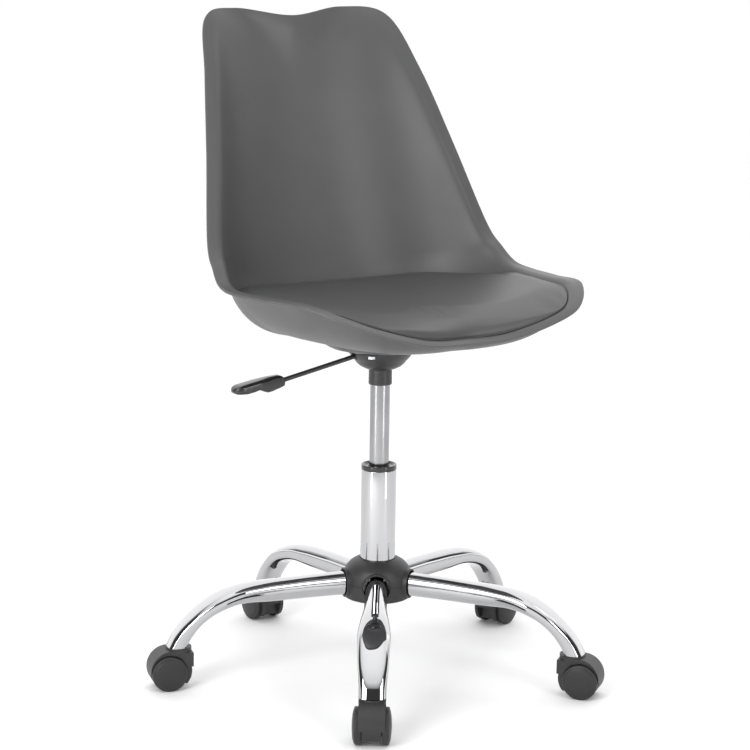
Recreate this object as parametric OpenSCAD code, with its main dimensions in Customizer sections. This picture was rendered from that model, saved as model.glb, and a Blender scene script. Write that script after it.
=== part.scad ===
// Swivel task chair: moulded bucket shell and pad on a gas-lift column, five-leg
// base and twin-wheel casters. Millimetres, +Z up, the front of the seat faces -Y,
// origin on the floor under the column axis. The seat is drawn fully raised.

/* [Shell] */
// Greatest width across the side wings
shell_w = 490; // [410:1:588]
// Depth from the front lip to the top of the back
shell_d = 499; // [420:1:598]
// Height of the back above the seat plate
shell_h = 458; // [382:1:549]
// Wall of the moulded shell
shell_wall = 4; // [3:0.1:5]
// Width of the rolled lip round the rim
lip_w = 16; // [13.5:0.5:19]
// Backrest lean from upright, degrees
recline = 14.5; // [10:0.5:20]
// Radius of the bend between seat and back
bend_r = 95; // [80:1:114]
// Radius of the flat boss under the shell
boss_r = 66; // [64:1:72]

/* [Pad] */
// Height of the pad's crown above the floor of the shell
pad_h = 55; // [46:1:66]
// Thickness of the cover
cover_t = 1.4; // [1:0.1:1.7]
// Thickness of the pad's board
board_t = 3; // [2.5:0.1:3.6]
// Gap between the pad's edge and the crest of the lip
pad_gap = 1.5; // [1:0.1:3]

/* [Seat plate] */
// Side of the square seat plate
plate_w = 110; // [104:1:130]
// Thickness of the seat plate
plate_t = 2.5; // [2:0.1:3]
// Spacing of the four seat bolts
bolt_pitch = 78; // [76:1:80]
// Diameter of the seat bolts
bolt_d = 6; // [5:0.5:6]
// Height of the pressed cup under the plate
cup_h = 29.5; // [28:0.5:35]

/* [Gas lift] */
// Diameter of the pressure tube
tube_d = 28; // [24:0.5:30]
// Length of the pressure tube
tube_len = 222; // [214:1:266]
// Seat height travel
stroke = 100; // [84:1:110]
// Diameter of the piston rod
rod_d = 10; // [9:0.5:12]
// Outer diameter of the column
column_d = 50; // [46:0.5:56]
// Wall of the column
column_wall = 1.8; // [1.5:0.1:2.2]
// Length of the column
column_len = 180; // [178:1:216]

/* [Base] */
// Distance from the column axis to each caster
foot_r = 290; // [242:1:348]
// Radius of the bend in each leg
leg_bend_r = 124; // [104:1:148]
// Wall of each leg
leg_wall = 2; // [1.6:0.1:2.4]
// Angle of the first leg from the front, degrees
leg_turn = -33; // [-36:1:36]
// Radius of the hub cover
hub_r = 48.5; // [47:0.5:56]

/* [Casters] */
// Diameter of a wheel
wheel_d = 50; // [42:1:60]
// Width of one wheel
wheel_w = 13.4; // [11:0.1:16]
// Distance of the axle from the swivel axis
trail = 16; // [15:0.5:18]
// Diameter of the axle
axle_d = 6; // [5:0.5:7]
// Diameter of the stem
stem_d = 11; // [9.5:0.5:12]

/* [Lever] */
// Diameter of the lever rod
lever_d = 6.5; // [5.5:0.1:7]
// Reach of the lever from the column axis to its tip
lever_reach = 237; // [215:1:284]

/* [Hidden] */
$fn = 64;

// Radial clearance of a running fit, gap between pieces at rest, gap beside a wheel
run = 0.05;
gap = 0.3;
legs = 5;

// Casters: height of the axle, hood and leg foot
axle_z = wheel_d / 2;
web_half = wheel_w - 0.6;
wheel_in = web_half + gap;
wheel_out = wheel_in + wheel_w;
hood_half = web_half + 5;
hood_top = wheel_d + 9;
foot_z = hood_top + 1;
stem_top = foot_z + 15;
stem_floor = axle_z + 5;
socket_wall = 2.7;

// Leg: straight part falls slightly, then bends down to the foot
leg_fall = 1.6;
leg_end = 62;
foot_rise = 4.3;
hub_bore_wall = 4;
leg_root = column_d / 2 + run + hub_bore_wall + 0.2;
bend_at_r = foot_r + 0.5 - leg_bend_r * (sin(leg_end) - sin(leg_fall));
bend_at_z = foot_z + foot_rise + leg_bend_r * (cos(leg_fall) - cos(leg_end));
hub_z = bend_at_z + (bend_at_r - leg_root) * tan(leg_fall);
bend_c = [bend_at_r - leg_bend_r * sin(leg_fall), bend_at_z - leg_bend_r * cos(leg_fall)];
// Half width and half height of the leg, at fractions of the distance to the foot
leg_half_w = [[0.1, 15.5], [0.37, 15], [0.55, 17.5], [0.71, 21], [0.79, 23], [0.85, 22],
    [0.92, 21], [1, 18.5]];
leg_half_h = [[0.1, 17], [0.37, 16], [0.55, 15.5], [0.71, 12.5], [0.79, 11], [0.85, 10],
    [0.92, 9.5], [1, 12]];

// Column: its foot sits inside the hub tube, and a plate closes it
column_z = hub_z - 16.5;
column_top = column_z + column_len;
column_bore = column_d / 2 - column_wall;
column_plate_t = 3;
cap_h = 7;
race_t = 1.5;
ball_d = 4;
race_z = column_z + column_plate_t + 0.1;
ball_z = race_z + race_t + run;
upper_race_z = ball_z + ball_d + run;
bump_z = upper_race_z + race_t + 0.2;
journal_d = rod_d - 2;
cover_bottom = hub_z - 22.5;
cover_top = hub_z + 34;
cover_t2 = 2.2;
arch_r = 18.8;

// Gas lift, from the column up. The rod's piston stays put while the tube slides.
bump_h = 9;
tube_rest_gap = 0.6;
tube_z = bump_z + bump_h + tube_rest_gap + stroke;
tube_top = tube_z + tube_len;
tube_wall = 1.5;
gland_h = 15;
piston_h = 10;
piston_z = tube_z + gland_h + 1;
valve_z = tube_top - 20;
valve_h = 18;
pin_d = 5;
pin_top = tube_top + 6;

// Seat plate and cup above the tube
socket_z = tube_top - 39.5;
socket_h = 41.5;
socket_wall_t = 2.45;
plate_z = tube_top + 11.5;
shell_z = plate_z + plate_t;
cup_z = plate_z - cup_h;
cup_r = 47;
cup_t = 2.2;
insert_t = 1;
washer_t = 1.5;

// Lever: pivot pin along Y, straight rod falling outwards, blade over the valve pin
pivot_x = -34;
pivot_z = plate_z - 6.4;
lever_fall = 11.3;
blade_z = pin_top + 0.35;
blade_t = 3;
pivot_d = 5;
handle_len = 79;
handle_x = pivot_x - (lever_reach - handle_len + pivot_x);

// Wing and lip outline from the top of the back round to the front lip: x, y, height over
// the seat plate, distance along the centre line, how late the wall turns up, and how far the
// lip's crest stands above the rim
rim = [[0, 254, 447, 611, 2.6, 1], [89, 266, 458, 608, 2.6, 1], [151, 238, 447, 597, 2.6, 1],
    [179, 186, 370, 560, 2.6, 1], [205, 132, 263, 480, 2.6, 1], [231, 81, 153, 385, 2.8, 1],
    [239, 50, 120, 310, 3.4, 0], [244, 22, 101, 240, 3.8, 0], [245, -20, 96, 175, 3.8, 0],
    [236, -90, 97, 105, 3.8, 0], [222, -167, 98, 45, 3.8, 0], [168, -228, 73, 12, 3.8, 2.5],
    [78, -233, 46, 2, 3.8, 5.5], [0, -227, 41, 0, 3.8, 5.5]];
// Share of the wall's rise that comes in the wide curve, the rest comes close to the lip
wide_share = 0.62;
kx = shell_w / 490;
ky = shell_d / 499;
kz = shell_h / 458;
// Centre line: seat, bend and back. The seat runs from its front to the start of the bend.
seat_front = -140 * ky;
seat_len = 213 * ky;
seat_floor = 16 * kz;
seat_bow = 3240;
turn = 90 - recline;
bend_len = bend_r * turn * PI / 180;
back_from = seat_len + bend_len;
back_len = (611 - 338.2) * kz;
boss_blend = 30;

function mirror_x(p) = [-p[0], p[1], p[2], p[3], p[4], p[5]];
function station(i) = i < 0 ? mirror_x(rim[-i])
    : i >= len(rim) ? mirror_x(rim[2 * len(rim) - 2 - i]) : rim[i];
// Smooth curve through the stations, t counted in stations
function outline(t) = let (i = min(floor(t), len(rim) - 2), f = t - i, a = station(i - 1),
    b = station(i), c = station(i + 1), d = station(i + 2))
    0.5 * (2 * b + (c - a) * f + (2 * a - 5 * b + 4 * c - d) * f * f
        + (3 * b - a - 3 * c + d) * f * f * f);
// Distance along the centre line, stretched so that each part keeps its place
function along(s) = s < 213 ? s * ky
    : s < 338.2 ? seat_len + (s - 213) / 125.2 * bend_len
    : back_from + (s - 338.2) / 272.8 * back_len;
// Centre line point [y, z] and its slope in degrees
function spine(s) = s < seat_len
    ? [seat_front + s, seat_floor + pow(seat_len - s, 2) / (2 * seat_bow),
        -(seat_len - s) / seat_bow * 180 / PI]
    : let (a = min((s - seat_len) / bend_r * 180 / PI, turn), e = max(s - back_from, 0))
        [seat_front + seat_len + bend_r * sin(a) + e * sin(recline),
        seat_floor + bend_r * (1 - cos(a)) + e * cos(recline), a];
function up(t) = let (a = spine(along(outline(t)[3]))[2]) [0, -sin(a), cos(a)];
// Where the lip's crest lies between the centre line (0) and the rim (1)
function crest(t, inset = 0) = let (q = outline(t), c = spine(along(q[3])),
    d = [q[0] * kx, q[1] * ky - c[0], q[2] * kz - c[1]], rise = d * [0, -sin(c[2]), cos(c[2])])
    1 - (lip_w + inset) / sqrt(d * d - rise * rise);
// Point of the shell's inner face: t runs round the rim, v from wing to wing
function bowl(t, v) = let (q = outline(t), c = spine(along(q[3])), a = abs(v),
    centre = [0, c[0], c[1]], n = [0, -sin(c[2]), cos(c[2])],
    d = [q[0] * kx, q[1] * ky, q[2] * kz] - centre, rise = d * n, flat = d - n * rise,
    top = 1 - lip_w / norm(flat), k = min(a / top, 1), over = max(a - top, 0) / (1 - top),
    g = wide_share * sin(90 * pow(k, q[4])) + (1 - wide_share) * sin(90 * pow(k, 3 * q[4])))
    centre + [(v < 0 ? -1 : 1) * flat[0], flat[1], flat[2]] * a
    + n * ((rise + q[5]) * g - q[5] * over * over);
// The boss: near the column axis the wall drops to a flat floor
function sunk(p) = let (r = norm([p[0], p[1]]), k = min(max((boss_r + boss_blend - r) / boss_blend, 0), 1),
    w = k * k * (3 - 2 * k))
    p[2] > 90 ? p : [p[0], p[1], p[2] + (shell_wall - p[2]) * w];
function face_at(t, v) = sunk(bowl(t, v)) + [0, 0, shell_z];

// Grid over the shell, with two columns on each side for the lip
shell_rows = 4 * (len(rim) - 1);
shell_cols = 16;
lip_cols = 2;
function col(j, t) = let (a = abs(j), c = crest(t), n = shell_cols - lip_cols)
    (j < 0 ? -1 : 1) * (a > n ? c + (1 - c) * (a - n) / lip_cols : c * pow(a / n, 0.85));
function grid(t0, t1, rows) = [for (i = [0 : rows]) let (t = t0 + (t1 - t0) * i / rows)
    [for (j = [-shell_cols : shell_cols]) face_at(t, col(j, t))]];
// Normals of a grid, towards the sitter. Its first and last rows are folded on the centre line.
function grid_normals(g, m, ups) = let (rows = len(g) - 1) [for (i = [0 : rows])
    [for (j = [0 : 2 * m]) let (
        before = i > 0 ? g[i - 1][j] : g[1][2 * m - j],
        after = i < rows ? g[i + 1][j] : g[rows - 1][2 * m - j],
        c = cross(after - before, g[i][min(j + 1, 2 * m)] - g[i][max(j - 1, 0)]),
        u = ups[i], l = norm(c))
        l < 0.5 ? u : c / l * (c * u < 0 ? -1 : 1)]];

// Vertex number in a grid whose first (fold0) or last (fold1) row is folded on the centre line
function vertex(i, j, m, rows, fold0, fold1) = i * (2 * m + 1)
    + ((i == 0 && fold0) || (i == rows && fold1) ? m + abs(j - m) : j);

// Closed solid between two grids of the same size, upper above lower
module sheet(upper, lower, m, fold0, fold1) {
    rows = len(upper) - 1;
    n = (rows + 1) * (2 * m + 1);
    function vx(i, j) = vertex(i, j, m, rows, fold0, fold1);
    top = [for (i = [0 : rows - 1], j = [0 : 2 * m - 1]) each [
        [vx(i, j), vx(i + 1, j), vx(i + 1, j + 1)], [vx(i, j), vx(i + 1, j + 1), vx(i, j + 1)]]];
    left = [for (i = [0 : rows]) vx(i, 0)];
    right = [for (i = [rows : -1 : 0]) vx(i, 2 * m)];
    back = fold0 ? [] : [for (j = [2 * m - 1 : -1 : 1]) vx(0, j)];
    front = fold1 ? [] : [for (j = [1 : 2 * m - 1]) vx(rows, j)];
    loop = concat(left, front, fold1 ? [for (k = [1 : rows]) right[k]] : right, back);
    ring = fold0 ? [for (k = [0 : len(loop) - 2]) loop[k]] : loop;
    k = len(ring);
    edge = [for (a = [0 : k - 1]) let (b = (a + 1) % k) each [
        [ring[b], ring[a], ring[a] + n], [ring[b], ring[a] + n, ring[b] + n]]];
    faces = concat(top, [for (f = top) [f[2] + n, f[1] + n, f[0] + n]], edge);
    polyhedron(points = concat([for (r = upper) each r], [for (r = lower) each r]),
        faces = [for (f = faces) [f[0], f[2], f[1]]], convexity = 8);
}

module at_bolts() {
    for (x = [-1, 1], y = [-1, 1]) translate([x * bolt_pitch / 2, y * bolt_pitch / 2, 0]) children();
}

module ring(z, h, r_out, r_in) {
    translate([0, 0, z]) difference() {
        cylinder(h = h, r = r_out);
        translate([0, 0, -1]) cylinder(h = h + 2, r = r_in);
    }
}

module at_leg(k) {
    rotate([0, 0, leg_turn - 90 + 360 / legs * (k - 1)]) children();
}

// Seat

// Moulded shell with the flat boss and four holes for the inserts
module seat_shell() {
    last = len(rim) - 1;
    g = grid(0, last, shell_rows);
    ups = [for (i = [0 : shell_rows]) up(last * i / shell_rows)];
    n = grid_normals(g, shell_cols, ups);
    under = [for (i = [0 : shell_rows]) [for (j = [0 : 2 * shell_cols])
        let (p = g[i][j] - n[i][j] * shell_wall) [p[0], p[1], max(p[2], shell_z)]]];
    color("dimgray") difference() {
        sheet(g, under, shell_cols, true, true);
        at_bolts() translate([0, 0, shell_z - 1]) cylinder(h = shell_wall + 2, r = bolt_d / 2 + 1.6);
    }
}

// Pad: it starts at the back edge, part way up the bend, and ends inside the lip's crest.
// Cover, foam and board share one plan grid, so each layer keeps its place under the next.
pad_back = 6;
pad_rows = 22;
pad_cols = 12;
// Columns that only the cover reaches, over its rounded edge
pad_rim_cols = 2;
pad_edge_r = 9;
// Least thickness of the pad where its edge meets the wings
pad_edge_t = 3;
// Gaps under the board, between board and foam, and between foam and cover
board_gap = 1;
layer_gap = 0.6;
cover_gap = 0.4;
foam_min = 0.6;
// Height of the pad's edge over the seat plate: level with the back edge, up to the wings
function pad_edge(t) = let (q = outline(max(t, 8)), full = q[2] * kz + 3.4 * q[5] - 4,
    low = seat_floor + pad_h + 5, k = min((t - pad_back) / 2, 1))
    low + (full - low) * k;
// How far along v the shell's wall is still below height h
function below(t, h, lo, hi, steps) = steps == 0 ? lo : let (m = (lo + hi) / 2)
    bowl(t, m)[2] < h ? below(t, h, m, hi, steps - 1) : below(t, h, lo, m, steps - 1);
// Edge of the pad between the centre line (0) and the rim (1)
function pad_reach(t) = let (c = crest(t, pad_gap)) min(c, below(t, pad_edge(t) - pad_edge_t, 0.3, 1, 10));
// Height of the pad's top over the seat plate, at e from the centre line (0) to the edge (1)
function pad_top(t, e, width) = let (level = seat_floor + pad_h, near = min((1 - e) * width / pad_edge_r, 1),
    round_off = t < 7 ? 0 : pad_edge_r * (1 - sqrt(1 - pow(1 - near, 2))) * min((t - 7) / 3, 1))
    level + (pad_edge(t) - level) * pow(e, 2.5) - round_off;
// Column j between the centre line (0) and the edge (1), closer together over the edge
function pad_col(j, width) = let (a = abs(j), n = pad_cols - pad_rim_cols)
    a > n ? 1 - (pad_cols - a) * 0.3 * pad_edge_r / width : (1 - pad_edge_r / width) * pow(a / n, 0.85);
// Least room under the cover: foam and board inside, nothing at the edge
function pad_room(i, j) = i == 0 || abs(j) > pad_cols - pad_rim_cols ? board_gap
    : board_gap + board_t + layer_gap + foam_min + cover_gap;
// Grid of one face, from row first and as far as column cols on each side. Its height is
// either a depth under the pad's top or a height above the shell.
function pad_grid(first, cols, depth, above) = let (last = len(rim) - 1)
    [for (i = [first : pad_rows]) let (t = pad_back + (last - pad_back) * pow(i / pad_rows, 1.15),
        reach = pad_reach(t), p = bowl(t, reach), width = norm([p[0], p[1] - bowl(t, 0)[1]]))
    [for (j = [-cols : cols]) let (e = pad_col(j, width), s = bowl(t, (j < 0 ? -1 : 1) * e * reach))
        [s[0], s[1], shell_z + (is_undef(depth) ? s[2] + above
            : max(pad_top(t, e, width), s[2] + pad_room(i, j) + cover_t) - depth)]]];

// Cover with its hem turned down to the shell along the whole edge
module pad_cover() {
    top = pad_grid(0, pad_cols, 0);
    inner = pad_grid(0, pad_cols, cover_t);
    hem = pad_grid(0, pad_cols, undef, cover_gap);
    color("gray") sheet(top, [for (i = [0 : pad_rows]) [for (j = [0 : 2 * pad_cols])
        i == 0 || j == 0 || j == 2 * pad_cols ? hem[i][j] : inner[i][j]]], pad_cols, false, true);
}

module pad_foam() {
    cols = pad_cols - pad_rim_cols;
    color("khaki") sheet(pad_grid(1, cols, cover_t + cover_gap),
        pad_grid(1, cols, undef, board_gap + board_t + layer_gap), cols, false, true);
}

module pad_board() {
    cols = pad_cols - pad_rim_cols - 1;
    color("burlywood") sheet(pad_grid(2, cols, undef, board_gap + board_t),
        pad_grid(2, cols, undef, board_gap), cols, false, true);
}

// Flanged steel inserts in the boss
module seat_inserts() {
    color("silver") at_bolts() {
        ring(shell_z + shell_wall + 3 * gap, insert_t, 6, bolt_d / 2 + run);
        ring(shell_z + 0.2, shell_wall + 3 * gap, bolt_d / 2 + 1.5, bolt_d / 2 + run);
    }
}

module seat_bolts() {
    color("silver") at_bolts() {
        translate([0, 0, plate_z - washer_t - 4]) cylinder(h = 4, r = bolt_d * 0.87, $fn = 6);
        translate([0, 0, plate_z - washer_t - 1]) cylinder(h = plate_t + washer_t + 8, r = bolt_d / 2);
    }
}

module bolt_washers() {
    color("silver") at_bolts() ring(plate_z - washer_t, washer_t, bolt_d + 2, bolt_d / 2 + 0.2);
}

// Rounded square plate under the boss
module seat_plate() {
    corner = 20;
    side = plate_w - 2 * corner;
    color("black") translate([0, 0, plate_z]) difference() {
        union() {
            translate([-plate_w / 2, -side / 2, 0]) cube([plate_w, side, plate_t]);
            translate([-side / 2, -plate_w / 2, 0]) cube([side, plate_w, plate_t]);
            for (x = [-1, 1], y = [-1, 1]) translate([x * side / 2, y * side / 2, 0])
                cylinder(h = plate_t, r = corner);
        }
        at_bolts() translate([0, 0, -1]) cylinder(h = plate_t + 2, r = bolt_d / 2 + 0.3);
    }
}

// Pressed cup welded under the plate, with a slot for the lever
module plate_cup() {
    h = cup_h;
    inner = tube_d / 2 + run + socket_wall_t + 0.05;
    color("black") difference() {
        rotate_extrude() polygon([[inner, cup_z], [22, cup_z + 1.5], [29, cup_z + 5],
            [33.6, cup_z + 9], [37.5, cup_z + 14], [42, cup_z + 0.64 * h], [45.4, cup_z + 0.83 * h],
            [cup_r, plate_z], [cup_r - cup_t, plate_z], [43.2, cup_z + 0.84 * h],
            [39.9, cup_z + 0.66 * h], [35.5, cup_z + 15.5], [31.7, cup_z + 10.8], [27.8, cup_z + 7.1],
            [21.3, cup_z + 3.9], [inner, cup_z + 2.6]]);
        translate([-cup_r - 5, -lever_d / 2 - 1.3, plate_z - 12.2]) cube([22, lever_d + 2.6, 11]);
    }
}

// Two ears hanging from the plate, which hold the lever's pin
module lever_bracket() {
    ear = 5;
    inside = 4.8;
    color("dimgray") for (s = [-1, 1]) translate([pivot_x, s * (inside + 1), 0]) difference() {
        union() {
            translate([0, 0, pivot_z]) rotate([90, 0, 0]) cylinder(h = 2, r = ear, center = true);
            translate([-ear, -1, pivot_z]) cube([2 * ear, 2, plate_z - pivot_z]);
        }
        translate([0, 0, pivot_z]) rotate([90, 0, 0]) cylinder(h = 6, r = pivot_d / 2 + 0.02, center = true);
    }
}

module lever_pivot_pin() {
    color("silver") translate([pivot_x, 0, pivot_z]) rotate([90, 0, 0])
        cylinder(h = 15, r = pivot_d / 2, center = true);
}

module socket_tube() {
    bore = tube_d / 2 + run;
    color("black") ring(socket_z, socket_h, bore + socket_wall_t, bore);
}

// Gas lift

module pressure_tube() {
    color("lightgray") ring(tube_z, tube_len, tube_d / 2, tube_d / 2 - tube_wall);
}

module rod_gland() {
    color("dimgray") ring(tube_z, gland_h, tube_d / 2 - tube_wall - run, rod_d / 2 + run);
}

module valve_body() {
    color("gold") ring(valve_z, valve_h, tube_d / 2 - tube_wall - run, pin_d / 2 + run);
}

module valve_pin() {
    color("silver") translate([0, 0, valve_z + 4]) cylinder(h = pin_top - valve_z - 4, r = pin_d / 2);
}

module piston_rod() {
    color("silver") {
        translate([0, 0, column_z - 5]) cylinder(h = bump_z - column_z + 5, r = journal_d / 2);
        translate([0, 0, bump_z]) cylinder(h = piston_z + piston_h + 4 - bump_z, r = rod_d / 2);
    }
}

module piston() {
    color("dimgray") ring(piston_z, piston_h, tube_d / 2 - tube_wall - run, rod_d / 2 + 0.02);
}

module upper_race() {
    color("silver") ring(upper_race_z, race_t, rod_d + 1, journal_d / 2 + 0.02);
}

module rod_clip() {
    color("silver") ring(column_z - 1.6, 1.5, rod_d, journal_d / 2 + 0.02);
}

module lower_race() {
    color("silver") ring(race_z, race_t, rod_d + 1, journal_d / 2 + run);
}

// Cage of balls between the races
module ball_cage() {
    balls = 8;
    track = (rod_d + 1 + journal_d / 2) / 2;
    color("gold") difference() {
        ring(ball_z + ball_d / 2 - 0.8, 1.6, rod_d + 0.5, journal_d / 2 + 0.3);
        for (a = [0 : 360 / balls : 359]) rotate([0, 0, a]) translate([track, 0, ball_z - 1])
            cylinder(h = ball_d + 2, r = ball_d / 2 + run);
    }
    color("silver") for (a = [0 : 360 / balls : 359]) rotate([0, 0, a])
        translate([track, 0, ball_z + ball_d / 2]) sphere(d = ball_d);
}

module bump_stop() {
    color("black") ring(bump_z + 0.1, bump_h - 0.2, rod_d, rod_d / 2 + 0.1);
}

module guide_bush() {
    color("dimgray") ring(column_top - 66, 65.9, column_bore - run, tube_d / 2 + run);
}

module column_plate() {
    color("silver") ring(column_z, column_plate_t, column_bore - run, journal_d / 2 + run);
}

module column_tube() {
    color("silver") ring(column_z, column_len, column_d / 2, column_bore);
}

// Dished plastic ring on top of the column
module column_cap() {
    r = column_d / 2;
    inner = tube_d / 2 + 0.4;
    color("black") translate([0, 0, column_top]) rotate_extrude() polygon([[inner, 0], [r, 0],
        [r, cap_h - 1.2], [r - 1.2, cap_h], [r - 3, cap_h], [inner + 3, cap_h - 2], [inner, cap_h - 2]]);
}

// Lever

module lever_rod() {
    eye_r = 5.2;
    eye_half = 4.5;
    rod_len = (lever_reach - handle_len + 14 + pivot_x) / cos(lever_fall);
    color("black") difference() {
        union() {
            translate([pivot_x, 0, pivot_z]) {
                rotate([90, 0, 0]) cylinder(h = 2 * eye_half, r = eye_r, center = true);
                rotate([0, -90 - lever_fall, 0]) cylinder(h = rod_len, r = lever_d / 2);
            }
            translate([pivot_x, -eye_half, blade_z]) cube([6 - pivot_x, 2 * eye_half, blade_t]);
        }
        translate([pivot_x, 0, pivot_z]) rotate([90, 0, 0])
            cylinder(h = 20, r = pivot_d / 2 + run, center = true);
    }
}

// Paddle grip pushed on the rod: a thick block, then a thin rounded tongue
module lever_handle() {
    rise = -(lever_reach - handle_len + pivot_x) * tan(lever_fall);
    tip_r = 12.5;
    side = [[0, 8], [-14, 8.6], [-24, 10.5], [-34, tip_r]];
    color("black") translate([-(lever_reach - handle_len), 0, pivot_z + rise]) difference() {
        intersection() {
            rotate([90, 0, 0]) linear_extrude(height = 30, center = true) polygon([[0, -7.5], [0, 4.5],
                [-1, 6], [-7, 8.5], [-22, 7.4], [-57, 1.8], [-70, -0.6], [-76, -3.2], [-79, -7],
                [-77.5, -10.6], [-73, -12.4], [-59, -13], [-48, -11.2], [-40, -8.8], [-34, -11.4],
                [-27, -13.9], [-19, -13.2], [-6, -9.4]]);
            translate([0, 0, -20]) linear_extrude(height = 40) polygon(concat(side,
                [for (a = [90 : 10 : 270]) [tip_r - 79 + tip_r * cos(a), tip_r * sin(a)]],
                [for (i = [len(side) - 1 : -1 : 0]) [side[i][0], -side[i][1]]]));
        }
        rotate([0, -90 - lever_fall, 0]) translate([0, 0, -10]) cylinder(h = 25, r = lever_d / 2 + 0.02);
    }
}

// Base

module hub_tube() {
    color("silver") ring(hub_z - 18, 36, leg_root - 0.2, column_d / 2 + run);
}

// Outer form of the hub cover and its collars over the legs, inset by t
module hub_form(t) {
    r = hub_r - t;
    rotate_extrude() polygon([[0, cover_bottom + t], [r - 2.5, cover_bottom + t], [r - 0.8, cover_bottom + 1.2 + t],
        [r, cover_bottom + 9], [r + 0.4, hub_z - 3], [r + 0.4, hub_z + 6], [r - 1, hub_z + 15],
        [r - 4.5, hub_z + 22 - t], [r - 10, hub_z + 28 - t], [r - 16, cover_top - 2.2 - t],
        [r - 21, cover_top - t], [0, cover_top - t]]);
}

module hub_shell() {
    difference() {
        union() {
            hub_form(0);
            for (k = [1 : legs]) at_leg(k) translate([0, 0, hub_z]) rotate([0, 90, 0])
                cylinder(h = hub_r + 1.5, r = arch_r + cover_t2);
        }
        hub_form(cover_t2);
        for (k = [1 : legs]) at_leg(k) translate([0, 0, hub_z]) rotate([0, 90, 0])
            cylinder(h = hub_r + 10, r = arch_r);
        translate([0, 0, cover_bottom - 5]) cylinder(h = 80, r = column_d / 2 + gap);
    }
}

module hub_cover_upper() {
    half = hub_r + 20;
    color("black") intersection() {
        hub_shell();
        translate([-half, -half, hub_z + 0.1]) cube([2 * half, 2 * half, 60]);
    }
}

module hub_cover_lower() {
    half = hub_r + 20;
    color("black") intersection() {
        hub_shell();
        translate([-half, -half, hub_z - 60.1]) cube([2 * half, 2 * half, 60]);
    }
}

// Leg: centre line point [r, z] and fall in degrees, u from hub (0) to foot (1)
leg_straight = 0.3;
function leg_path(u) = u < leg_straight
    ? let (f = u / leg_straight, r = leg_root + (bend_at_r - leg_root) * f)
        [r, hub_z - (r - leg_root) * tan(leg_fall), leg_fall]
    : let (a = leg_fall + (leg_end - leg_fall) * (u - leg_straight) / (1 - leg_straight))
        [bend_c[0] + leg_bend_r * sin(a), bend_c[1] + leg_bend_r * cos(a), a];
leg_sides = 20;
leg_rings = 16;
// One ring of the leg's section, shrunk by t. The last ring is cut level at the foot.
function leg_ring(u, t, level) = let (c = leg_path(u), f = c[0] / foot_r, w = lookup(f, leg_half_w) - t,
    h = lookup(f, leg_half_h) - t)
    [for (i = [0 : leg_sides - 1]) let (a = 360 / leg_sides * (i + 0.5),
        y = w * sign(cos(a)) * pow(abs(cos(a)), 0.62), k = h * sign(sin(a)) * pow(abs(sin(a)), 0.62),
        r = c[0] + k * sin(c[2]), z = c[1] + k * cos(c[2]),
        back = level ? (z - foot_z) / sin(c[2]) : 0)
        [r + back * cos(c[2]), y, z - back * sin(c[2])]];

module leg(k) {
    n = leg_sides;
    us = [for (i = [0 : leg_rings]) i < 4 ? leg_straight * i / 4
        : leg_straight + (1 - leg_straight) * (i - 4) / (leg_rings - 4)];
    outer = [for (i = [0 : leg_rings]) each leg_ring(us[i], 0, i == leg_rings)];
    inner = [for (i = [0 : leg_rings]) each leg_ring(us[i], leg_wall, i == leg_rings)];
    o = len(outer);
    walls = [for (i = [0 : leg_rings - 1], j = [0 : n - 1]) let (a = i * n + j, b = i * n + (j + 1) % n)
        each [[a, b, b + n], [a, b + n, a + n], [b + o, a + o, b + n + o], [b + n + o, a + o, a + n + o]]];
    ends = [for (j = [0 : n - 1]) let (a = j, b = (j + 1) % n, c = leg_rings * n + j, d = leg_rings * n + b)
        each [[b, a, a + o], [b, a + o, b + o], [c, d, d + o], [c, d + o, c + o]]];
    color("silver") at_leg(k) polyhedron(points = concat(outer, inner), faces = concat(walls, ends),
        convexity = 6);
}

// Tubes welded inside the feet, cut off below the bend of the leg's roof
module leg_sockets() {
    bore = stem_d / 2 + run;
    r = bore + socket_wall;
    roof = leg_bend_r + 9.3 - leg_wall;
    slope = asin((foot_r - bend_c[0]) / roof);
    color("silver") for (k = [1 : legs]) at_leg(k) difference() {
        translate([foot_r, 0, 0]) ring(foot_z, 40, r, bore);
        translate([bend_c[0], -30, bend_c[1]]) rotate([0, slope, 0])
            translate([-60, 0, roof - 0.4]) cube([120, 60, 60]);
    }
}

// Casters

// Steel stems pressed into the feet, each with a collar at the mouth of its socket
module caster_stems() {
    color("silver") for (k = [1 : legs]) at_leg(k) translate([foot_r, 0, 0]) {
        translate([0, 0, stem_floor]) cylinder(h = stem_top - stem_floor, r = stem_d / 2);
        translate([0, 0, hood_top + 0.1]) cylinder(h = foot_z - hood_top - 0.2, r = stem_d / 2 + 2);
    }
}

// Hood: a web between the wheels, a mudguard over them and the stem's sleeve
module caster_hood(k) {
    neck = stem_d / 2 + 12.8;
    hood_r = wheel_d / 2 + 4;
    skirt = 9.5;
    color("black") at_leg(k) translate([foot_r, 0, 0]) difference() {
        union() {
            intersection() {
                union() {
                    translate([trail - 3, 0, axle_z + 3]) rotate([90, 0, 0])
                        cylinder(h = 2 * hood_half, r = hood_r, center = true);
                    translate([-neck, -hood_half, axle_z + 8]) cube([2 * neck, 2 * hood_half, hood_top - axle_z - 14]);
                }
                translate([-60, -40, skirt]) cube([120, 80, 80]);
            }
            translate([0, 0, axle_z + 12]) cylinder(h = hood_top - axle_z - 12, r = neck);
        }
        for (s = [-1, 1]) translate([trail, s * (wheel_in - gap + 15), axle_z]) rotate([90, 0, 0])
            cylinder(h = 30, r = wheel_d / 2 + 0.8, center = true);
        translate([trail - 60, -web_half, -1]) cube([60 - hood_r + 8, 2 * web_half, axle_z + 4]);
        translate([0, 0, stem_floor - 0.5]) cylinder(h = 60, r = stem_d / 2 + run);
        translate([trail, 0, axle_z]) rotate([90, 0, 0]) cylinder(h = 80, r = axle_d / 2 + 0.02, center = true);
    }
}

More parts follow.
